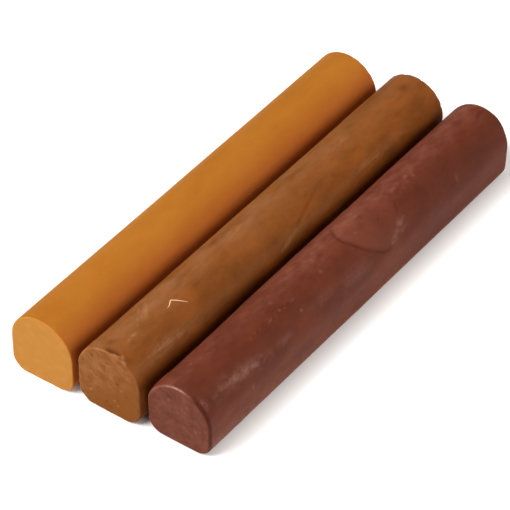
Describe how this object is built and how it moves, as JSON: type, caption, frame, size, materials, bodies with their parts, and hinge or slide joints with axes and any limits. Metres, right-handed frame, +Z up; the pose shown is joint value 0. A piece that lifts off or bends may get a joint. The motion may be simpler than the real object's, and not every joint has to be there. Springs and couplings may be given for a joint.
{
  "type": "furniture repair wax stick set",
  "caption": "Set of loose D-section bars of soft filler wax in ochre, brown and mahogany, lying side by side, for filling scratches and chips in furniture.",
  "frame": {"origin": "middle of the set's footprint, on the surface that the sticks lie on", "axes": "+X along the sticks from their near ends to their far ends, +Y across the set towards the ochre stick, +Z up"},
  "size_m": [0.082, 0.0362, 0.0125],
  "materials": {
    "ochre_wax": "cast soft wax, smooth and satin",
    "brown_wax": "cast soft wax, streaked and pitted, dull satin",
    "mahogany_wax": "cast soft wax with laps and a greyish bloom, satin"
  },
  "bodies": {
    "brown": {"brown_stick": "brown_wax"},
    "ochre": {"ochre_stick": "ochre_wax"},
    "mahogany": {"mahogany_stick": "mahogany_wax"}
  },
  "joints": [
    {"name": "ochre_lift", "type": "slide", "parent": "brown", "child": "ochre", "axis": [0, 0, 1], "range_m": [0, 0.05]},
    {"name": "mahogany_lift", "type": "slide", "parent": "brown", "child": "mahogany", "axis": [0, 0, 1], "range_m": [0, 0.05]}
  ]
}
